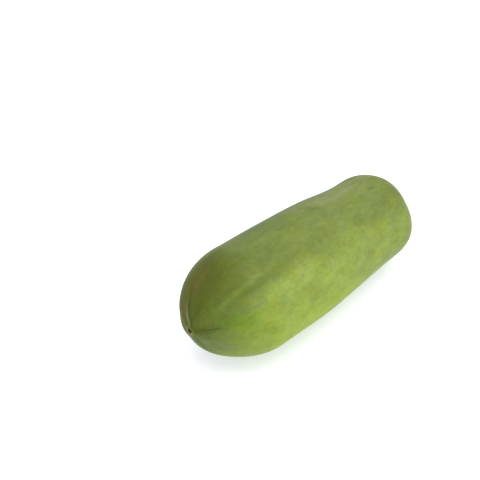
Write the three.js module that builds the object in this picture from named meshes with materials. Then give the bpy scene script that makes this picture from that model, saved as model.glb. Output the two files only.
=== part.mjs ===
// A long green papaya lying on its side, grown as one piece: skin, blossom scar and stalk stub.
// Millimetres. +X runs along the fruit from the blossom end to the stalk end, and +Z is up.
// A "share" is a place along the fruit, from 0 at the blossom end to 1 at the stalk end.
// A "radius" is measured from the fruit's own middle line, before the lobes shape it.
import * as THREE from "three";

const TURN = 2 * Math.PI;
const DEGREE = Math.PI / 180;

// The whole fruit.
const LENGTH = 267; // blossom end to stalk shoulder, without the stub
const BELLY_FLAT = 2; // how much of the underside is pressed flat where it rests
const RING_SEGMENTS = 65; // about 13 for each lobe
const BODY_RINGS = 44;

// Flesh radius at each share: widest toward the blossom end, a slight waist, then the shoulder.
const GIRTH = [
  [0, 53.6],
  [0.12, 52.2],
  [0.28, 51.4],
  [0.46, 51.5],
  [0.64, 48.1],
  [0.8, 44],
  [0.92, 44],
  [1, 43.7],
];

// The middle line's drift to the side and upward at each share.
const SWAY = [
  [0, 3.9],
  [0.25, 1.1],
  [0.5, 0.8],
  [0.75, 0.9],
  [1, 2.2],
];
const RISE = [
  [0, 6],
  [0.25, 3.1],
  [0.5, -0.3],
  [0.75, -2.4],
  [1, -2.8],
];

// Rounding of the two ends: how far in it starts, as a share, and its two curve powers.
const NOSE = { reach: 0.25, along: 1.9, across: 1.6 };
const SHOULDER = { reach: 0.146, along: 2.58, across: 1.8 };

// Five soft lobes, the top one a little wider than the rest. The top crest wanders along the fruit,
// in degrees up from +Y.
const LOBES = 5;
const CREST_PATH = [
  [0, 112],
  [0.28, 116.5],
  [0.5, 111],
  [0.75, 103.5],
  [1, 97.5],
];
const LOBE_HEIGHT = { body: 0.011, nose: 0.007, shoulder: 0.008 }; // parts of the radius
const LOBE_FLATNESS = 0.15;
const TOP_LOBE_SPREAD = 0.18;

// Folds between the lobes, deepest where they run into the two scars.
const FOLD_WIDTH = 4.5;
const FOLD = { nose: 1.8, noseReach: 0.05, shoulder: 1.4, shoulderReach: 0.05 };

// Long gentle unevenness of the flesh: height, times round, waves along, starting angle.
const LUMPS = [
  [0.45, 1, 1.3, 0.4],
  [0.35, 2, 2.1, 2.1],
  [0.25, 3, 3.2, 4.0],
];

// The blossom scar: a small pit inside a low rim, a little to one side of the middle.
const PIT = { depth: 2.2, floor: 0.9, edge: 2.2 };
const RIM = { height: 0.6, radius: 3.6, width: 1.5 };
const SCAR_OFFSET = { side: -1.2, up: 0.4, inner: 6, outer: 26 }; // fades out between two radii

// The stalk end: a shallow basin, and in it the short cut stub with a dished face and a knobbly foot.
const BASIN = { depth: 3, width: 18 };
const STUB = { height: 5.2, top: 8.3, foot: 9.5, dish: 0.7, corners: 0.05 };
const KNOBS = { height: 0.9, radius: 11.2, width: 1.4 };

const NOSE_RING_RADII = [0, 0.9, 1.5, 2.2, 2.9, 3.6, 4.4, 5.4, 6.8, 8.8];
const STALK_RING_RADII = [24, 19, 15, 12.6, 11.2, 10.2, 9.5, 9.1, 8.7, 8.3, 7, 4.5, 2, 0];

function ramp(from, to, value) {
  return THREE.MathUtils.smoothstep(value, from, to);
}

function bump(value, centre, width) {
  return Math.exp(-(((value - centre) / width) ** 2));
}

// A smooth curve through a table of [share, value] stations.
function follow(table, share) {
  const last = table.length - 1;
  const slope = (k) => {
    const [before, after] = [table[Math.max(k - 1, 0)], table[Math.min(k + 1, last)]];
    return (after[1] - before[1]) / (after[0] - before[0]);
  };
  let k = 0;
  while (k < last - 1 && share >= table[k + 1][0]) k += 1;
  const span = table[k + 1][0] - table[k][0];
  const t = (share - table[k][0]) / span;
  const start = (2 * t ** 3 - 3 * t ** 2 + 1) * table[k][1];
  const leave = (t ** 3 - 2 * t ** 2 + t) * span * slope(k);
  const end = (3 * t ** 2 - 2 * t ** 3) * table[k + 1][1];
  const arrive = (t ** 3 - t ** 2) * span * slope(k + 1);
  return start + leave + end + arrive;
}

function rounding(end, shareFromEnd) {
  const t = Math.min(shareFromEnd / end.reach, 1);
  return Math.max(1 - (1 - t) ** end.along, 0) ** (1 / end.across);
}

function plainRadius(share) {
  return follow(GIRTH, share) * rounding(NOSE, share) * rounding(SHOULDER, 1 - share);
}

// The share near one end where the fruit has the given radius.
function shareAtRadius(radius, end) {
  let [low, high] = [0, 0.1];
  for (let step = 0; step < 40; step += 1) {
    const middle = (low + high) / 2;
    if (plainRadius(end === "nose" ? middle : 1 - middle) < radius) low = middle;
    else high = middle;
  }
  if (radius === 0) low = 0;
  return end === "nose" ? low : 1 - low;
}

function crestAngle(share) {
  return follow(CREST_PATH, share) * DEGREE;
}

// Height of the five lobes and the folds between them, added to the radius.
function lobeRelief(share, radius, fromCrest) {
  const lobeAngle = LOBES * (fromCrest - TOP_LOBE_SPREAD * Math.sin(fromCrest));
  const height =
    LOBE_HEIGHT.body +
    LOBE_HEIGHT.nose * bump(share, 0.1, 0.1) +
    LOBE_HEIGHT.shoulder * bump(share, 0.94, 0.08);
  const wave = Math.cos(lobeAngle) + LOBE_FLATNESS * Math.cos(2 * lobeAngle);
  const lobe = radius * height * wave * ramp(5, 18, radius);
  const lobeTurn = lobeAngle / TURN;
  const fromFold = Math.abs(lobeTurn - Math.floor(lobeTurn) - 0.5) * (TURN / LOBES) * radius;
  const depth =
    FOLD.nose * Math.exp(-share / FOLD.noseReach) * ramp(4, 9, radius) +
    FOLD.shoulder * Math.exp(-(1 - share) / FOLD.shoulderReach) * ramp(10, 17, radius);
  return lobe - depth * bump(fromFold, 0, FOLD_WIDTH);
}

function lumpRelief(share, radius, angle) {
  let height = 0;
  for (const [size, round, along, start] of LUMPS) {
    height += size * Math.cos(round * angle + TURN * along * share + start);
  }
  return height * ramp(8, 28, radius);
}

// How far the two scars push the skin along +X.
function noseRelief(radius) {
  const pit = PIT.depth * (1 - ramp(PIT.floor, PIT.edge, radius));
  return pit - RIM.height * bump(radius, RIM.radius, RIM.width);
}

function stalkRelief(radius, fromCrest) {
  const basin = BASIN.depth * bump(radius, 0, BASIN.width);
  const stub = STUB.height * (1 - ramp(STUB.top, STUB.foot, radius));
  const dish = STUB.dish * Math.max(1 - (radius / STUB.top) ** 2, 0);
  const knobRing = KNOBS.height * bump(radius, KNOBS.radius, KNOBS.width);
  const knobs = knobRing * (0.5 + 0.5 * Math.cos(LOBES * fromCrest));
  return stub + knobs - dish - basin;
}

// The point of the skin at a share and an angle from the nearest lobe's crest.
function skinPoint(share, fromCrest) {
  const angle = crestAngle(share) + fromCrest;
  const plain = plainRadius(share);
  const atStalk = share > 0.5;
  const corners = atStalk ? STUB.corners * Math.cos(LOBES * fromCrest) * (1 - ramp(9, 16, plain)) : 0;
  const relief = lobeRelief(share, plain, fromCrest) + lumpRelief(share, plain, angle);
  const radius = plain * (1 + corners) + relief;
  const along = atStalk ? stalkRelief(plain, fromCrest) : noseRelief(plain);
  const offset = atStalk ? 0 : 1 - ramp(SCAR_OFFSET.inner, SCAR_OFFSET.outer, plain);
  return new THREE.Vector3(
    (share - 0.5) * LENGTH + along,
    follow(SWAY, share) + SCAR_OFFSET.side * offset + radius * Math.cos(angle),
    follow(RISE, share) + SCAR_OFFSET.up * offset + radius * Math.sin(angle),
  );
}

// Rings crowd together at both scars and at the rounded ends.
function ringShares() {
  const nose = NOSE_RING_RADII.map((radius) => shareAtRadius(radius, "nose"));
  const stalk = STALK_RING_RADII.map((radius) => shareAtRadius(radius, "stalk"));
  const [from, to] = [nose[nose.length - 1], stalk[0]];
  const body = [];
  for (let ring = 1; ring < BODY_RINGS; ring += 1) {
    const eased = 0.5 - 0.5 * Math.cos((Math.PI * ring) / BODY_RINGS);
    body.push(from + (to - from) * eased);
  }
  return [...nose, ...body, ...stalk];
}

// A plain turned body, whose rings are then pushed out to the skin.
function papayaGeometry() {
  const shares = ringShares();
  const profile = shares.map((share) => new THREE.Vector2(plainRadius(share), share * LENGTH));
  const geometry = new THREE.LatheGeometry(profile, RING_SEGMENTS);
  const position = geometry.attributes.position;
  for (let k = 0; k < position.count; k += 1) {
    const column = Math.floor(k / shares.length) % RING_SEGMENTS;
    const point = skinPoint(shares[k % shares.length], (TURN * column) / RING_SEGMENTS);
    position.setXYZ(k, point.x, point.y, point.z);
  }
  return geometry;
}

// Presses the belly flat, then moves the fruit so that its box stands on the origin.
function settle(geometry) {
  geometry.computeBoundingBox();
  const floor = geometry.boundingBox.min.z + BELLY_FLAT;
  const position = geometry.attributes.position;
  for (let k = 0; k < position.count; k += 1) {
    position.setZ(k, Math.max(position.getZ(k), floor));
  }
  geometry.computeBoundingBox();
  const middle = geometry.boundingBox.getCenter(new THREE.Vector3());
  geometry.translate(-middle.x, -middle.y, -geometry.boundingBox.min.z);
  geometry.computeVertexNormals();
  return geometry;
}

const skin = new THREE.MeshStandardMaterial({ color: 0x8fa54c, roughness: 0.45, metalness: 0 });

const papaya = new THREE.Mesh(settle(papayaGeometry()), skin);
papaya.name = "papaya";

const part = new THREE.Group();
part.add(papaya);

export default part;
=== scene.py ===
"""A long green papaya on a white studio floor.

The fruit is one finely formed skin, turned about its long axis and then shaped ring by ring: five soft
lobes, the folds between them, thin ribs, shallow dents, the blossom scar and the cut stalk stub. The
same numbers that shape it also paint it, through soft masks that the skin's material reads.

Lengths are in millimetres until the mesh is made. +X runs from the blossom end to the stalk end and +Z
is up. A "share" is a place along the fruit, from 0 at the blossom end to 1 at the stalk end, and
"degrees" are measured round it, up from +Y. A "plain" radius is that of the round body, without lobes.
"""
from types import SimpleNamespace

import bpy
import numpy as np
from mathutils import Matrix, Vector


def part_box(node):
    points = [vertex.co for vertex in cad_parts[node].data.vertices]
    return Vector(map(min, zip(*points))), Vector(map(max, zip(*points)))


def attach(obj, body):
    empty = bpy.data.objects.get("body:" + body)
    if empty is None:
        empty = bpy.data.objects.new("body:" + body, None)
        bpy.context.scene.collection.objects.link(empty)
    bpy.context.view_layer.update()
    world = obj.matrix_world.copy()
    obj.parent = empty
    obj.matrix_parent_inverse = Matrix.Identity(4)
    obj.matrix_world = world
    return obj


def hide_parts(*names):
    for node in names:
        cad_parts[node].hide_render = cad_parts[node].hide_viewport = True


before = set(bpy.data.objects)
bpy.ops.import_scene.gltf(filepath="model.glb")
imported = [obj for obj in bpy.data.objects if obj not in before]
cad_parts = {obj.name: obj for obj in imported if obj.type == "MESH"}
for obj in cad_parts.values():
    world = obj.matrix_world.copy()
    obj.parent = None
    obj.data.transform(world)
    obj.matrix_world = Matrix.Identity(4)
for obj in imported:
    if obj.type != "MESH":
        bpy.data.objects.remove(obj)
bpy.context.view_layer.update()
fruit_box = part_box("papaya")

MM = 0.001
TURN = 2 * np.pi
DEGREE = np.pi / 180

# The whole fruit.
LENGTH = 267  # blossom end to stalk shoulder, without the stub
BELLY_FLAT = 2  # how much of the underside is pressed flat where it rests

# The mesh. Within the close radius the rings stand so many times closer.
RINGS = 285
SEGMENTS = 340
CLOSE_RADIUS, CLOSER = 13, 3
MEASURED_SHARES = 20001  # places at which the skin's length is measured, to space the rings

# At each share: the radius of the flesh, and how far its middle line drifts to the side and up.
GIRTH = [
    (0, 53.6), (0.12, 52.2), (0.28, 51.4), (0.46, 51.5),
    (0.64, 48.1), (0.8, 44), (0.92, 44), (1, 43.7),
]
SWAY = [(0, 3.9), (0.25, 1.1), (0.5, 0.8), (0.75, 0.9), (1, 2.2)]
RISE = [(0, 6), (0.25, 3.1), (0.5, -0.3), (0.75, -2.4), (1, -2.8)]

# Rounding of the two ends: how far in it starts, as a share, and its two curve powers.
NOSE_REACH, NOSE_ALONG, NOSE_ACROSS = 0.25, 1.9, 1.6
SHOULDER_REACH, SHOULDER_ALONG, SHOULDER_ACROSS = 0.146, 2.58, 1.8

# Lobes, and the folds between them.
LOBES = 5
CREST_PATH = [(0, 112), (0.28, 116.5), (0.5, 111), (0.75, 103.5), (1, 97.5)]
LOBE_BODY, LOBE_NOSE, LOBE_SHOULDER = 0.011, 0.007, 0.008  # heights, as parts of the radius
NOSE_SWELL, SHOULDER_SWELL = (0.1, 0.1), (0.94, 0.08)  # the share where each is highest, and its reach
LOBE_FLATNESS = 0.15
TOP_LOBE_SPREAD = 0.18
LOBE_START = (5, 18)  # plain radii between which the lobes rise
FOLD_WIDTH = 4.5
FOLD_NOSE, FOLD_SHOULDER, FOLD_REACH = 1.8, 1.4, 0.05
FOLD_NOSE_START, FOLD_SHOULDER_START = (4, 9), (10, 17)  # plain radii between which they deepen

# Long gentle unevenness of the flesh: height, times round, waves along, starting angle.
LUMPS = [(0.45, 1, 1.3, 0.4), (0.35, 2, 2.1, 2.1), (0.25, 3, 3.2, 4.0)]
LUMPS_START = (8, 28)  # plain radii between which it rises

# The blossom scar: a pit in a low rim, with fine puckers running into it.
PIT_DEPTH, PIT_FLOOR, PIT_EDGE = 2.2, 0.9, 2.2
RIM_HEIGHT, RIM_RADIUS, RIM_WIDTH = 0.6, 3.6, 1.5
PUCKERS = [(0.12, 17, 0), (0.084, 26, 1.1)]  # height, times round, starting angle
PUCKER_RADIUS, PUCKER_WIDTH = 4.6, 2.2
SCAR_SIDE, SCAR_UP = -1.2, 0.4  # how far it sits to one side and up
SCAR_INNER, SCAR_OUTER = 6, 26  # plain radii between which that shift fades

# The stalk end: a shallow basin, and in it the cut stub with its dished face, pith and knobbly foot.
BASIN_DEPTH, BASIN_WIDTH = 3, 18
STUB_HEIGHT, STUB_TOP, STUB_FOOT, STUB_DISH = 5.2, 8.3, 9.5, 0.7
CORNER_HEIGHT, CORNER_FADE = 0.05, (9, 16)  # the stub's five corners, as a part of the radius
KNOB_HEIGHT, KNOB_RADIUS, KNOB_WIDTH = 0.9, 11.2, 1.4
PITH_DEPTH, PITH_FLOOR, PITH_EDGE = 0.8, 0.8, 1.9
STRANDS = [(0.16, 23, 1.7), (0.12, 31, 0)]  # height, times round, how much they wind
STRAND_RADIUS, STRAND_WIDTH = 6, 2.6

# Lines along the skin: (share, degrees) on the path, (share, strength) and half the width.
RIDGE = {
    "path": [(0.04, 128), (0.1, 122), (0.15, 119.5), (0.22, 117.5), (0.34, 116)],
    "strength": [(0.04, 0), (0.09, 0.9), (0.15, 1), (0.2, 0.8), (0.28, 0)],
    "width": 2.3,
}
TROUGH = {
    "path": [(0.05, 132), (0.12, 127), (0.22, 124.5), (0.34, 119), (0.5, 120)],
    "strength": [(0.07, 0), (0.13, 0.9), (0.2, 1), (0.3, 0.7), (0.38, 0.3), (0.5, 0)],
    "width": 3.8,
}
LIP = {
    "path": [(0.001, 84), (0.01, 62), (0.02, 57), (0.045, 55)],
    "strength": [(0.001, 0), (0.004, 0.8), (0.014, 1), (0.026, 0.5), (0.045, 0)],
    "width": 1.4,
}
CREASES = [
    {
        "path": [(0.014, 151), (0.026, 156), (0.04, 155.5), (0.06, 155)],
        "strength": [(0.014, 0), (0.025, 1), (0.044, 0.9), (0.058, 0)],
        "width": 0.7,
    },
    {
        "path": [(0.016, 170), (0.024, 166), (0.04, 161), (0.05, 160)],
        "strength": [(0.016, 0), (0.026, 0.6), (0.038, 0.5), (0.048, 0)],
        "width": 0.9,
    },
    {
        "path": [(0.002, 98), (0.02, 68), (0.04, 65), (0.066, 60), (0.1, 52)],
        "strength": [(0.002, 0), (0.006, 0.9), (0.04, 0.9), (0.066, 0.5), (0.1, 0)],
        "width": 1.4,
    },
    {
        "path": [(0.006, 252), (0.014, 243), (0.026, 241), (0.05, 245)],
        "strength": [(0.006, 0), (0.011, 1), (0.034, 1), (0.05, 0)],
        "width": 1,
    },
]
RIDGE_HEIGHT, TROUGH_DEPTH, LIP_HEIGHT, CREASE_DEPTH = 0.35, 0.45, 0.3, 0.35
FINE_START = (5, 16)  # plain radii between which the fine relief rises

# Thin ribs and shallow dents, spread by a seeded draw within these limits.
RIBS = {"count": 26, "seed": 5, "lengths": (24, 60), "widths": (2.4, 4.5), "heights": (0.08, 0.2)}
DENTS = {"count": 90, "seed": 11, "lengths": (6, 16), "widths": (3, 7), "heights": (-0.2, 0.12)}

# At each share: the degrees where the golden side begins, how many its edge takes, and how golden it is.
# The golden side is yellower skin and, in part, painted light.
GOLDEN_LIT_EDGE = [
    (0, 150), (0.1, 142), (0.14, 137), (0.2, 133), (0.28, 131),
    (0.35, 127.5), (0.5, 131.5), (0.7, 131), (1, 136),
]
GOLDEN_LIT_BLUR = [(0, 20), (0.12, 16), (0.18, 9), (0.26, 7), (0.34, 8), (0.5, 20), (1, 24)]
GOLDEN_LIT_STRENGTH = [
    (0, 0), (0.04, 0.1), (0.1, 0.6), (0.16, 0.8), (0.26, 0.84), (0.36, 1), (0.7, 0.85), (1, 0.75),
]
GOLDEN_LIT_END = (235, 280)  # degrees between which it fades out underneath
YELLOW_START = (15, 75)  # degrees past the golden edge between which it turns yellower
YELLOW_LOSS, YELLOW_FADE = 0.75, (0.5, 0.8)  # how much of that is lost toward the stalk, and where

# The dark olive of the nose, partly olive skin and partly painted shade on the blossom end, at each angle in
# degrees:
# the share where it starts to fade, the share where it has gone, and how strong it is.
OLIVE_AND_SHADE_START = [(0, 0.05), (75, 0.08), (95, 0.03), (112, -0.04), (150, -0.03), (200, -0.04), (360, 0.05)]
OLIVE_AND_SHADE_END = [
    (0, 0.2), (45, 0.26), (75, 0.3), (95, 0.38), (112, 0.35),
    (130, 0.21), (150, 0.22), (172, 0.23), (200, 0.25), (360, 0.2),
]
OLIVE_AND_SHADE_STRENGTH = [
    (0, 0.8), (85, 1), (112, 0.9), (123, 0.84), (150, 0.77), (168, 0.5), (186, 0.56), (240, 0.58), (360, 0.8),
]

# Soft oval marks: share, degrees, half length and half width in millimetres, strength.
# The broad dark patches low on the far side, near 50 degrees, and the small one in the fold beside the
# blossom scar are painted shade; all dark patches are added to the olive mask.
DARK_AND_SHADE_PATCHES = [
    (0.42, 50, 100, 26, 0.6), (0.56, 46, 90, 18, 0.3), (0.82, 48, 30, 10, 0.4), (0.45, 85, 45, 12, 0.1),
    (0.33, 106, 22, 12, 0.26), (0.59, 82, 9, 6, 0.3), (0.13, 114, 12, 5, 0.16), (0.014, 166, 4, 20, 0.3),
    (0.7, 65, 5, 2.2, 0.5), (0.86, 60, 5, 3, 0.5), (0.66, 84, 6, 3, 0.3), (0.84, 97, 5, 4, 0.4),
    (0.96, 120, 19, 90, 0.3), (0.86, 90, 16, 13, 0.2), (0.67, 88, 12, 8, 0.2),
]
RUSSET_PATCHES = [
    (0.07, 62, 26, 17, 0.75), (0.2, 58, 26, 9, 0.3), (0.03, 25, 16, 22, 0.9), (0.015, 330, 8, 24, 0.8),
    (0.085, 92, 16, 15, 0.32),
]
FRESH_PATCHES = [(0.118, 157, 14, 18, 0.6), (0.07, 147, 7, 9, 0.45)]
YELLOW_PATCHES = [(0.18, 163, 22, 17, 0.42)]
# Grey wax bloom, which also stands for painted sheen where the skin curves away along its upper and lower
# edges.
BLOOM_AND_SHEEN_PATCHES = [
    (0.76, 74, 24, 9, 1), (0.66, 76, 20, 8, 1), (0.6, 66, 14, 6, 0.7), (0.55, 76, 10, 5, 0.6),
    (0.86, 70, 14, 9, 0.7), (0.53, 60, 10, 5, 0.6), (0.72, 188, 36, 8, 0.6), (0.05, 196, 18, 12, 0.4),
    (0.85, 88, 15, 12, 0.6), (0.68, 87, 12, 8, 0.5),
]

# The shade in the folds: half its width, how much wider it is at the nose, and, as shares, how far that
# and the shade itself reach in.
SHADE_WIDTH, SHADE_FLARE, SHADE_FLARE_REACH, SHADE_REACH = 1.4, 3.4, 0.02, 0.03
SHADE_NOSE_START, SHADE_SHOULDER_START = (4.2, 6), (11, 16)  # plain radii between which it begins
SHADE_SHOULDER, SHADE_UNEVENNESS = 0.55, 0.35  # how strong it is at the shoulder, and how uneven

# Marks round the two scars: the plain radii between which they fade, or their radius and half width.
SCAR_FADE, PIT_FADE, STUB_FADE, SCUFF_FADE = (3.4, 7.4), (1.7, 3.0), (8.9, 10.2), (11, 24)
STUB_RIM, STUB_PITH, FOOT_RING = (8.9, 0.9), (0, 2), (10.4, 1.6)
SCAR_TAN_SIDE, SCUFF_SIDE = 290, 80.214  # the sides, in degrees, on which they are strongest
SCAR_UNEVENNESS, SCUFF_UNEVENNESS, FOOT_UNEVENNESS = 0.42, 0.4, 0.38

WRAP_RADIUS = 0.05  # metres, of the even roll on which the lengthwise grain is laid

# Paints, as 0 to 255 screen values.
PAINTS = {
    "green": (108, 122, 58),
    # golden: yellower skin, in part painted light
    "golden_and_lit": (132, 148, 68),
    "yellow": (140, 160, 50),
    "fresh": (108, 142, 30),
    # olive: olive skin, in part painted shade
    "olive_and_shade": (70, 84, 12),
    "russet": (90, 80, 38),
    # trough, fold and crease: painted shade in the hollows
    "trough": (82, 98, 22),
    "fold": (66, 80, 2),
    "crease": (48, 62, 12),
    # bloom: grey wax bloom, in part painted sheen
    "bloom_and_sheen": (126, 131, 94),
    # lip: a painted highlight along the raised lip
    "lip": (124, 136, 96),
    "speck": (160, 168, 100),
    "pore": (60, 62, 30),
    "scar_dark": (104, 101, 60),
    "scar_pale": (145, 139, 94),
    "pit": (72, 62, 14),
    "scuff": (132, 122, 70),
    "cork_dark": (158, 122, 78),
    "cork_pale": (200, 166, 118),
    "pith": (116, 82, 48),
    "stub_rim": (104, 76, 44),
    "stub_foot": (58, 42, 22),
}
COOLER, WARMER = (0.985, 1, 1.19, 1), (1.015, 1, 0.83, 1)  # tints of less and more ripe skin


def ramp(low, high, value):
    """0 below low, 1 above high and smooth between them."""
    t = np.clip((value - low) / (high - low), 0, 1)
    return t * t * (3 - 2 * t)


def bump(value, centre, width):
    return np.exp(-(((value - centre) / width) ** 2))


def follow(table, share):
    """A smooth curve through a table of (share, value) stations."""
    at, value = np.array(table, float).T
    slope = np.concatenate([
        [(value[1] - value[0]) / (at[1] - at[0])],
        (value[2:] - value[:-2]) / (at[2:] - at[:-2]),
        [(value[-1] - value[-2]) / (at[-1] - at[-2])],
    ])
    k = np.clip(np.searchsorted(at, share, side="right") - 1, 0, len(at) - 2)
    span = at[k + 1] - at[k]
    t = (share - at[k]) / span
    start = (2 * t**3 - 3 * t**2 + 1) * value[k] + (t**3 - 2 * t**2 + t) * span * slope[k]
    end = (3 * t**2 - 2 * t**3) * value[k + 1] + (t**3 - t**2) * span * slope[k + 1]
    return start + end


def rounding(share_from_end, reach, along, across):
    t = np.clip(share_from_end / reach, 0, 1)
    return np.maximum(1 - (1 - t) ** along, 0) ** (1 / across)


def plain_radius(share):
    nose = rounding(share, NOSE_REACH, NOSE_ALONG, NOSE_ACROSS)
    shoulder = rounding(1 - share, SHOULDER_REACH, SHOULDER_ALONG, SHOULDER_ACROSS)
    return follow(GIRTH, share) * nose * shoulder


def lobe_angle(from_crest):
    """Counts lobes round the fruit, the top one a little wider than the rest."""
    return LOBES * (from_crest - TOP_LOBE_SPREAD * np.sin(from_crest))


def fold_distance(radius, from_crest):
    """Millimetres round the fruit to the nearest fold."""
    turn = lobe_angle(from_crest) / TURN
    return np.abs(turn - np.floor(turn) - 0.5) * (TURN / LOBES) * radius


def lobe_relief(share, radius, from_crest):
    height = LOBE_BODY + LOBE_NOSE * bump(share, *NOSE_SWELL) + LOBE_SHOULDER * bump(share, *SHOULDER_SWELL)
    wave = np.cos(lobe_angle(from_crest)) + LOBE_FLATNESS * np.cos(2 * lobe_angle(from_crest))
    lobe = radius * height * wave * ramp(*LOBE_START, radius)
    nose = FOLD_NOSE * np.exp(-share / FOLD_REACH) * ramp(*FOLD_NOSE_START, radius)
    shoulder = FOLD_SHOULDER * np.exp(-(1 - share) / FOLD_REACH) * ramp(*FOLD_SHOULDER_START, radius)
    return lobe - (nose + shoulder) * bump(fold_distance(radius, from_crest), 0, FOLD_WIDTH)


def lump_relief(share, radius, angle):
    height = 0
    for size, around, along, start in LUMPS:
        height = height + size * np.cos(around * angle + TURN * along * share + start)
    return height * ramp(*LUMPS_START, radius)


def nose_relief(radius, from_crest):
    """How far the blossom scar pushes the skin along +X."""
    pit = PIT_DEPTH * (1 - ramp(PIT_FLOOR, PIT_EDGE, radius))
    rim = RIM_HEIGHT * bump(radius, RIM_RADIUS, RIM_WIDTH)
    puckers = sum(height * np.cos(around * from_crest + start) for height, around, start in PUCKERS)
    return pit - rim + puckers * bump(radius, PUCKER_RADIUS, PUCKER_WIDTH)


def knob_wave(from_crest):
    """Five even swells round the stalk, from 0 to 1, the first in line with the top lobe."""
    return 0.5 + 0.5 * np.cos(LOBES * from_crest)


def stalk_relief(radius, from_crest):
    """How far the basin and the cut stub push the skin along +X."""
    basin = BASIN_DEPTH * bump(radius, 0, BASIN_WIDTH)
    stub = STUB_HEIGHT * (1 - ramp(STUB_TOP, STUB_FOOT, radius))
    dish = STUB_DISH * np.maximum(1 - (radius / STUB_TOP) ** 2, 0)
    knobs = KNOB_HEIGHT * bump(radius, KNOB_RADIUS, KNOB_WIDTH) * knob_wave(from_crest)
    pith = PITH_DEPTH * (1 - ramp(PITH_FLOOR, PITH_EDGE, radius))
    strands = bump(radius, STRAND_RADIUS, STRAND_WIDTH) * sum(
        height * np.cos(around * from_crest + wind * np.sin(radius)) for height, around, wind in STRANDS
    )
    return stub + knobs + strands - dish - basin - pith


def degrees_apart(degrees, other):
    return (degrees - other + 180) % 360 - 180


def line(share, degrees, path, strength, width):
    """A soft line that follows a path along the fruit."""
    across = degrees_apart(degrees, follow(path, share)) * DEGREE * plain_radius(share)
    start, end = strength[0][0], strength[-1][0]
    height = np.where((share > start) & (share < end), follow(strength, share), 0)
    return np.maximum(height, 0) * bump(across, 0, width)


def ovals(marks, share, degrees):
    """The sum of soft oval marks, whose widths hold where the fruit is widest."""
    total = np.zeros(np.broadcast(share, degrees).shape)
    for at, turn, length, width, strength in marks:
        along = (share - at) * LENGTH / length
        across = degrees_apart(degrees, turn) * DEGREE * GIRTH[0][1] / width
        total += strength * np.exp(-(along**2) - across**2)
    return total


def scattered(count, seed, lengths, widths, heights):
    """Oval marks spread over the skin by a seeded draw, each size between its two limits."""
    draw = np.random.default_rng(seed)
    limits = [(0.03, 0.97), (0, 360), lengths, widths, heights]
    return np.column_stack([draw.uniform(low, high, count) for low, high in limits])


def stronger_on(side, angle, unevenness):
    """1 on one side, given in degrees, and less by twice the unevenness on the other."""
    return 1 - unevenness + unevenness * np.cos(angle - side * DEGREE)


def ring_shares():
    """Rings evenly spaced along the skin, and closer round the two scars."""
    share = 0.5 - 0.5 * np.cos(np.linspace(0, np.pi, MEASURED_SHARES))
    radius = plain_radius(share)
    along = share * LENGTH + np.where(share > 0.5, stalk_relief(radius, 0), nose_relief(radius, 0))
    step = np.hypot(np.diff(along), np.diff(radius))
    closer = np.where(radius[1:] < CLOSE_RADIUS, CLOSER, 1)
    path = np.concatenate([[0], np.cumsum(step * closer)])
    return np.interp(np.linspace(0, path[-1], RINGS), path, share)


def skin_places():
    """Where each point of the skin is, along and round the fruit, and how strong each line is there."""
    share = ring_shares()[:, None]
    from_crest = (TURN * np.arange(SEGMENTS) / SEGMENTS)[None, :]
    angle = follow(CREST_PATH, share) * DEGREE + from_crest
    degrees = angle / DEGREE
    return SimpleNamespace(
        share=share,
        from_crest=from_crest,
        angle=angle,
        degrees=degrees,
        plain=plain_radius(share),
        at_stalk=share > 0.5,
        ridge=line(share, degrees, **RIDGE),
        trough=line(share, degrees, **TROUGH),
        lip=line(share, degrees, **LIP),
        creases=sum(line(share, degrees, **crease) for crease in CREASES),
    )


def fine_relief(places):
    ribs = ovals(scattered(**RIBS), places.share, places.degrees)
    dents = ovals(scattered(**DENTS), places.share, places.degrees)
    raised = RIDGE_HEIGHT * places.ridge + LIP_HEIGHT * places.lip
    sunk = TROUGH_DEPTH * places.trough + CREASE_DEPTH * places.creases
    return (raised - sunk + ribs + dents) * ramp(*FINE_START, places.plain)


def skin_points(places):
    """The skin's points, with the belly pressed flat and standing on z = 0."""
    share, from_crest, angle, plain = places.share, places.from_crest, places.angle, places.plain
    corner = CORNER_HEIGHT * np.cos(LOBES * from_crest) * (1 - ramp(*CORNER_FADE, plain))
    radius = plain * (1 + np.where(places.at_stalk, corner, 0))
    radius = radius + lobe_relief(share, plain, from_crest) + lump_relief(share, plain, angle)
    radius = radius + fine_relief(places)
    along = np.where(places.at_stalk, stalk_relief(plain, from_crest), nose_relief(plain, from_crest))
    offset = np.where(places.at_stalk, 0, 1 - ramp(SCAR_INNER, SCAR_OUTER, plain))
    points = np.stack([
        (share - 0.5) * LENGTH + along,
        follow(SWAY, share) + SCAR_SIDE * offset + radius * np.cos(angle),
        follow(RISE, share) + SCAR_UP * offset + radius * np.sin(angle),
    ], axis=-1)
    floor = points[..., 2].min() + BELLY_FLAT
    points[..., 2] = np.maximum(points[..., 2], floor) - floor
    return points


def fold_shade(places):
    """The shade in the folds, which runs into both scars, unevenly round the shoulder."""
    width = SHADE_WIDTH + SHADE_FLARE * np.exp(-places.share / SHADE_FLARE_REACH)
    shade = bump(fold_distance(places.plain, places.from_crest), 0, width)
    nose = np.exp(-places.share / SHADE_REACH) * ramp(*SHADE_NOSE_START, places.plain)
    shoulder = np.exp(-(1 - places.share) / SHADE_REACH) * ramp(*SHADE_SHOULDER_START, places.plain)
    strength = SHADE_SHOULDER + SHADE_UNEVENNESS * np.cos(2 * places.angle + 1)
    return shade * (nose + shoulder * strength)


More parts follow.
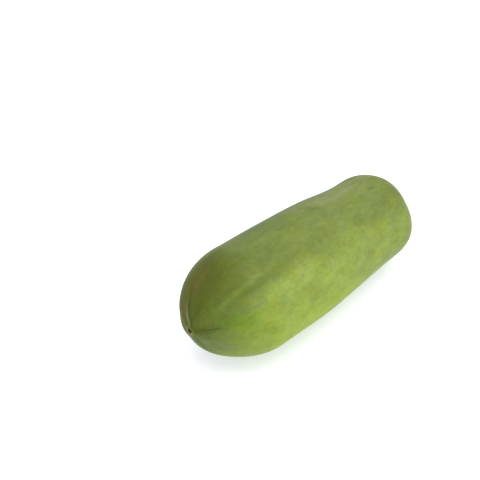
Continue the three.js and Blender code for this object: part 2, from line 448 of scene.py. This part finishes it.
def color_masks(places):
    """The masks of the skin's patches and creases, kept from 0 to 1."""
    share, degrees = places.share, places.degrees
    turned = degrees % 360
    past_edge = turned - follow(GOLDEN_LIT_EDGE, share)
    blur = follow(GOLDEN_LIT_BLUR, share)
    golden_and_lit = follow(GOLDEN_LIT_STRENGTH, share) * ramp(-blur, blur, past_edge) * (1 - ramp(*GOLDEN_LIT_END, turned))
    yellow = golden_and_lit * ramp(*YELLOW_START, past_edge) * (1 - YELLOW_LOSS * ramp(*YELLOW_FADE, share))
    olive_and_shade = 1 - ramp(follow(OLIVE_AND_SHADE_START, turned), follow(OLIVE_AND_SHADE_END, turned), share)
    masks = {
        "golden_and_lit": golden_and_lit,
        "yellow": yellow + ovals(YELLOW_PATCHES, share, degrees),
        "olive_and_shade": olive_and_shade * follow(OLIVE_AND_SHADE_STRENGTH, turned) + ovals(DARK_AND_SHADE_PATCHES, share, degrees),
        "russet": ovals(RUSSET_PATCHES, share, degrees),
        "fresh": ovals(FRESH_PATCHES, share, degrees),
        "bloom_and_sheen": ovals(BLOOM_AND_SHEEN_PATCHES, share, degrees),
        "crease": places.creases,
    }
    return {name: np.clip(mask, 0, 1) for name, mask in masks.items()}


def nose_masks(places):
    scar = (1 - ramp(*SCAR_FADE, places.plain)) * stronger_on(SCAR_TAN_SIDE, places.angle, SCAR_UNEVENNESS)
    masks = {"blossom_scar": scar, "pit": 1 - ramp(*PIT_FADE, places.plain)}
    return {name: np.where(places.at_stalk, 0, mask) for name, mask in masks.items()}


def stalk_masks(places):
    plain, angle = places.plain, places.angle
    foot = bump(plain, *FOOT_RING) * knob_wave(places.from_crest)
    blotch = np.cos(2 * angle - 1.2) * np.cos(angle + 0.5)
    masks = {
        "stub": 1 - ramp(*STUB_FADE, plain),
        "stub_rim": bump(plain, *STUB_RIM),
        "stub_pith": bump(plain, *STUB_PITH),
        "stub_foot": foot * (1 - FOOT_UNEVENNESS + FOOT_UNEVENNESS * blotch),
        "scuffs": (1 - ramp(*SCUFF_FADE, plain)) * stronger_on(SCUFF_SIDE, angle, SCUFF_UNEVENNESS),
    }
    return {name: np.where(places.at_stalk, mask, 0) for name, mask in masks.items()}


def skin_masks(places):
    """Every mask that the skin's material reads, by name."""
    lines = {"ridge": places.ridge, "trough": places.trough, "lip": places.lip, "fold": fold_shade(places)}
    masks = {**color_masks(places), **lines, **nose_masks(places), **stalk_masks(places)}
    return {name: np.broadcast_to(mask, (RINGS, SEGMENTS)) for name, mask in masks.items()}


def wrapped_places(places):
    """Coordinates in metres that lay the skin on an even roll, for grain that runs lengthwise."""
    sideways, upward = WRAP_RADIUS * np.cos(places.from_crest), WRAP_RADIUS * np.sin(places.from_crest)
    rolled = [sideways, upward, places.share * LENGTH * MM]
    return np.stack([np.broadcast_to(one, (RINGS, SEGMENTS)) for one in rolled], axis=-1)


def closed_skin(grid):
    """One value for each corner of the mesh: the rings, with a single point at each end."""
    return np.concatenate([grid[0, :1], grid[1:-1].reshape(-1, *grid.shape[2:]), grid[-1, :1]])


def skin_faces():
    inner = RINGS - 2
    last = 1 + inner * SEGMENTS
    column = np.arange(SEGMENTS)
    beside = (column + 1) % SEGMENTS
    first_ring, last_ring = 1, last - SEGMENTS
    faces = [(0, first_ring + b, first_ring + a) for a, b in zip(column, beside)]
    start = 1 + np.arange(inner - 1)[:, None] * SEGMENTS
    outer = start + SEGMENTS
    quads = np.stack([start + column, start + beside, outer + beside, outer + column], axis=-1)
    faces += quads.reshape(-1, 4).tolist()
    faces += [(last, last_ring + a, last_ring + b) for a, b in zip(column, beside)]
    return faces


def make_papaya():
    """The whole fruit as one closed mesh, in the middle of the solid's box and standing on its floor."""
    places = skin_places()
    corners = closed_skin(skin_points(places)) * MM
    low, high = corners.min(axis=0), corners.max(axis=0)
    box_low, box_high = np.array(fruit_box[0]), np.array(fruit_box[1])
    corners[:, :2] += ((box_low + box_high - low - high) / 2)[:2]
    corners[:, 2] += box_low[2] - low[2]

    mesh = bpy.data.meshes.new("papaya_skin")
    mesh.from_pydata(corners.tolist(), [], skin_faces())
    mesh.polygons.foreach_set("use_smooth", [True] * len(mesh.polygons))
    for name, mask in skin_masks(places).items():
        mesh.attributes.new(name, "FLOAT", "POINT").data.foreach_set("value", closed_skin(mask).ravel())
    wrap = closed_skin(wrapped_places(places))
    mesh.attributes.new("wrap", "FLOAT_VECTOR", "POINT").data.foreach_set("vector", wrap.ravel())
    mesh.update()
    papaya = bpy.data.objects.new("papaya_skin", mesh)
    bpy.context.scene.collection.objects.link(papaya)
    mesh.materials.append(papaya_finish())
    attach(papaya, "root")
    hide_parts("papaya")


class Value:
    """One output in a material. Sums and products of values add the Math nodes that they need."""

    def __init__(self, tree, socket=None):
        self.tree = tree
        self.socket = socket

    def node(self, kind, inputs=None, output=0, **settings):
        """Adds a node: its settings, then the numbers, colours or values of its sockets.

        The material's own output node has no output, so its value has no socket.
        """
        node = self.tree.nodes.new(kind)
        for name, setting in settings.items():
            setattr(node, name, setting)
        for name, value in (inputs or {}).items():
            if isinstance(value, Value):
                self.tree.links.new(value.socket, node.inputs[name])
            else:
                node.inputs[name].default_value = value
        return Value(self.tree, node.outputs[output] if len(node.outputs) else None)

    def math(self, operation, first, second):
        return self.node("ShaderNodeMath", {0: first, 1: second}, operation=operation)

    def __add__(self, other):
        return self.math("ADD", self, other)

    __radd__ = __add__

    def __sub__(self, other):
        return self.math("SUBTRACT", self, other)

    def __rsub__(self, other):
        return self.math("SUBTRACT", other, self)

    def __mul__(self, other):
        return self.math("MULTIPLY", self, other)

    __rmul__ = __mul__

    def mask(self, name):
        """A mask painted on the mesh."""
        return self.node("ShaderNodeAttribute", output=2, attribute_name=name)

    def between(self, low, high):
        """0 below low, 1 above high and smooth between them."""
        limits = {"Value": self, "From Min": low, "From Max": high}
        return self.node("ShaderNodeMapRange", limits, interpolation_type="SMOOTHSTEP")

    def grain(self, place, size, detail=2.0, roughness=0.5):
        """Soft noise from 0 to 1 whose blotches are about size millimetres across."""
        settings = {"Vector": place, "Scale": 1 / (size * MM), "Detail": detail, "Roughness": roughness}
        return self.node("ShaderNodeTexNoise", settings)

    def spots(self, place, size):
        """Distance from the middle of each cell, with cells about size millimetres across."""
        settings = {"Vector": place, "Scale": 1 / (size * MM)}
        return self.node("ShaderNodeTexVoronoi", settings, feature="F1")

    def scaled(self, place, scale):
        """Coordinates that stretch a pattern where the scale is under 1."""
        return self.node("ShaderNodeVectorMath", {0: place, 1: scale}, operation="MULTIPLY")

    def blend(self, amount, under, over):
        """Colour over laid on colour under."""
        inputs = {0: amount, 6: under, 7: over}
        return self.node("ShaderNodeMix", inputs, output=2, data_type="RGBA")

    def toned(self, color, tone):
        """A colour multiplied by a tone round 1, or by a tint."""
        inputs = {0: 1.0, 6: color, 7: tone}
        return self.node("ShaderNodeMix", inputs, output=2, data_type="RGBA", blend_type="MULTIPLY")


def paint(name):
    """A named paint as the colour that a material takes."""
    screen = np.array(PAINTS[name]) / 255
    linear = np.where(screen <= 0.04045, screen / 12.92, ((screen + 0.055) / 1.055) ** 2.4)
    return (*linear.tolist(), 1)


def skin_noise(skin):
    """The patterns that the colours, the roughness and the bump share, each from 0 to 1."""
    place = skin.node("ShaderNodeTexCoord", output=3)
    wrap = skin.node("ShaderNodeAttribute", output=1, attribute_name="wrap")
    fleck_place = skin.scaled(place, (1 / 1.4, 1, 1))
    long_place = skin.scaled(place, (1 / 2.5, 1, 1))
    streak_place = skin.scaled(wrap, (1, 1, 1 / 9))
    cork = skin.grain(place, size=1.4, detail=4, roughness=0.65)
    strands = skin.grain(wrap, size=2.6, detail=3, roughness=0.6)
    return SimpleNamespace(
        clouds=skin.grain(place, size=34, detail=3),
        blotches=skin.grain(fleck_place, size=11, detail=3),
        mottle=skin.grain(fleck_place, size=4.4, detail=3, roughness=0.6),
        flecks=skin.grain(fleck_place, size=2.0, detail=2),
        streaks=skin.grain(streak_place, size=3.2, detail=3, roughness=0.6),
        ripeness=skin.grain(fleck_place, size=13, detail=2).between(0.3, 0.7),
        wax_and_sheen=skin.grain(long_place, size=6, detail=4, roughness=0.6).between(0.32, 0.66) * skin.mask("bloom_and_sheen"),
        pale_specks=1 - skin.spots(place, size=4.2).between(0.06, 0.12),
        dark_pores=1 - skin.spots(fleck_place, size=10).between(0.02, 0.05),
        rubbing=skin.grain(place, size=3.4, detail=3, roughness=0.6),
        cork=cork,
        fibres=(0.5 * strands + 0.5 * cork).between(0.34, 0.66),
    )


def green_color(skin, noise):
    """Green skin with its golden side, partly painted light, yellow and fresh patches, olive nose and dark
    patches, partly painted shade, a painted highlight on the ridge, russet and mortling.
    """
    golden_and_lit = skin.mask("golden_and_lit") + 0.3 * (noise.clouds - 0.5) + 0.25 * (noise.blotches - 0.5)
    fresh = (skin.mask("fresh") + 0.9 * (noise.blotches - 0.5)).between(0.1, 0.7)
    olive_and_shade = skin.mask("olive_and_shade") + 0.5 * (noise.blotches - 0.5) * skin.mask("olive_and_shade")
    # The golden side is partly painted light.
    color = skin.blend(golden_and_lit, paint("green"), paint("golden_and_lit"))
    color = skin.blend(skin.mask("yellow"), color, paint("yellow"))
    color = skin.blend(0.6 * fresh, color, paint("fresh"))
    # The olive is partly painted shade, on the blossom end and, through the dark patches, on the far side.
    color = skin.blend(olive_and_shade, color, paint("olive_and_shade"))
    color = skin.blend(0.65 * skin.mask("russet"), color, paint("russet"))
    tone = 1 + 0.28 * (noise.clouds - 0.5) + 0.48 * (noise.blotches - 0.5) + 0.4 * (noise.mottle - 0.5)
    # The ridge is lightened by a painted highlight along it.
    tone = tone + 0.32 * (noise.flecks - 0.5) - 0.1 * (noise.streaks - 0.5) + 0.2 * skin.mask("ridge")
    return skin.toned(skin.toned(color, tone), skin.blend(noise.ripeness, COOLER, WARMER))


def marked_color(skin, noise, color):
    """The skin's lines, with painted shade in the trough, folds and creases and a painted highlight on the
    lip, waxy bloom that is partly painted sheen, pale specks and dark pores.
    """
    # Painted shade: the trough, the folds and the creases are darkened where shade falls in them.
    color = skin.blend(0.45 * skin.mask("trough"), color, paint("trough"))
    color = skin.blend(0.9 * skin.mask("fold"), color, paint("fold"))
    color = skin.blend(0.6 * skin.mask("crease"), color, paint("crease"))
    # Wax bloom, partly painted sheen.
    color = skin.blend(0.75 * noise.wax_and_sheen, color, paint("bloom_and_sheen"))
    # Painted highlight along the raised lip beside the nose's left fold.
    color = skin.blend(0.6 * skin.mask("lip"), color, paint("lip"))
    color = skin.blend(0.16 * noise.pale_specks, color, paint("speck"))
    return skin.blend(0.5 * noise.dark_pores, color, paint("pore"))


def blossom_scar_color(skin, noise, color):
    """A corky tan scar round a dark pit."""
    tan = skin.blend(noise.cork.between(0.35, 0.65), paint("scar_dark"), paint("scar_pale"))
    scar = (skin.mask("blossom_scar") + 0.5 * (noise.cork - 0.5)).between(0.1, 0.7)
    color = skin.blend(0.85 * scar, color, tan)
    return skin.blend(skin.mask("pit"), color, paint("pit"))


def stub_color(skin, noise, color):
    """The fibrous cut stub, with dark spots at its foot and rubbed skin round it."""
    rubbed = (skin.mask("scuffs") + 1.6 * (noise.rubbing - 0.5)).between(0.62, 0.86)
    color = skin.blend(0.45 * rubbed, color, paint("scuff"))
    cork = skin.blend(noise.fibres, paint("cork_dark"), paint("cork_pale"))
    cork = skin.blend(0.55 * skin.mask("stub_pith"), cork, paint("pith"))
    cork = skin.blend(0.7 * skin.mask("stub_rim"), cork, paint("stub_rim"))
    stub = (skin.mask("stub") + 0.4 * (noise.cork - 0.5)).between(0.35, 0.65)
    color = skin.blend(stub, color, cork)
    foot = (skin.mask("stub_foot") + 0.7 * (noise.cork - 0.5)).between(0.36, 0.72)
    return skin.blend(0.85 * foot, color, paint("stub_foot"))


def skin_roughness(skin, noise):
    """Satin green skin, duller on the wax and dull on the russet and the two corky scars."""
    roughness = 0.5 + 0.14 * noise.wax_and_sheen + 0.1 * (noise.mottle - 0.5) + 0.06 * (noise.flecks - 0.5)
    roughness = roughness + 0.35 * skin.mask("stub") + 0.3 * skin.mask("blossom_scar")
    return roughness + 0.2 * skin.mask("russet")


def skin_bump(skin, noise):
    """Fine relief of the skin, and a coarser grain on the stub."""
    height = 0.5 * noise.mottle + 0.3 * noise.flecks + 0.25 * noise.streaks
    height = height - 0.5 * noise.dark_pores + 0.15 * noise.pale_specks
    height = height + 1.5 * noise.cork * skin.mask("stub")
    return skin.node("ShaderNodeBump", {"Height": height, "Strength": 0.35, "Distance": 0.4 * MM})


def papaya_finish():
    """Waxy green skin with golden and olive patches, in part painted light and shade, painted shade in its
    folds, creases and trough, fine streaks and specks, and two corky brown scars.
    """
    material = bpy.data.materials.new("papaya_skin")
    material.use_nodes = True
    material.node_tree.nodes.clear()
    skin = Value(material.node_tree)
    noise = skin_noise(skin)
    color = marked_color(skin, noise, green_color(skin, noise))
    color = stub_color(skin, noise, blossom_scar_color(skin, noise, color))
    surface = skin.node("ShaderNodeBsdfPrincipled", {
        "Base Color": color,
        "Roughness": skin_roughness(skin, noise),
        "IOR": 1.2,
        "Coat Weight": 0.02 * (1 - noise.wax_and_sheen) * (1 - skin.mask("stub")),
        "Coat Roughness": 0.3,
        "Normal": skin_bump(skin, noise),
    })
    skin.node("ShaderNodeOutputMaterial", {"Surface": surface})
    return material


def make_floor():
    """A white sheet of paper, lit a little from within so that it stays pale to the horizon."""
    bpy.ops.mesh.primitive_plane_add(size=8)
    floor = bpy.context.object
    floor.name = "floor"
    paper = bpy.data.materials.new("white_paper")
    paper.use_nodes = True
    shader = paper.node_tree.nodes["Principled BSDF"]
    shader.inputs["Base Color"].default_value = (0.68, 0.69, 0.73, 1)
    shader.inputs["Roughness"].default_value = 1
    shader.inputs["Emission Color"].default_value = (0.92, 0.94, 1, 1)
    shader.inputs["Emission Strength"].default_value = 0.53
    floor.data.materials.append(paper)


def make_light():
    """White surroundings and one large soft lamp overhead."""
    world = bpy.data.worlds.new("white_room")
    world.use_nodes = True
    world.node_tree.nodes["Background"].inputs["Color"].default_value = (1, 1, 1, 1)
    world.node_tree.nodes["Background"].inputs["Strength"].default_value = 0.9
    bpy.context.scene.world = world

    light = bpy.data.lights.new("top_lamp", "AREA")
    light.size = 2.4
    light.energy = 40
    lamp = bpy.data.objects.new("top_lamp", light)
    lamp.location = (0.1, -0.2, 2.2)
    lamp.rotation_euler = lamp.location.to_track_quat("Z", "Y").to_euler()
    bpy.context.scene.collection.objects.link(lamp)


def make_camera():
    """Looks down at the fruit from beyond its blossom end, with the fruit low and right in the view."""
    distance, mm_per_pixel, view_size, sensor = 1300, 0.93, 480, 36
    target = Vector((-12.7, 63.3, 48.8)) * MM
    turn, rise = -45 * DEGREE, 40.2 * DEGREE
    back = Vector((np.sin(turn) * np.cos(rise), -np.cos(turn) * np.cos(rise), np.sin(rise)))
    data = bpy.data.cameras.new("camera")
    data.sensor_width = sensor
    data.lens = sensor * distance / mm_per_pixel / view_size
    camera = bpy.data.objects.new("camera", data)
    camera.location = target + back * distance * MM
    camera.rotation_euler = back.to_track_quat("Z", "Y").to_euler()
    bpy.context.scene.collection.objects.link(camera)
    bpy.context.scene.camera = camera


make_papaya()
make_floor()
make_light()
make_camera()
bpy.context.scene.view_settings.view_transform = "Standard"
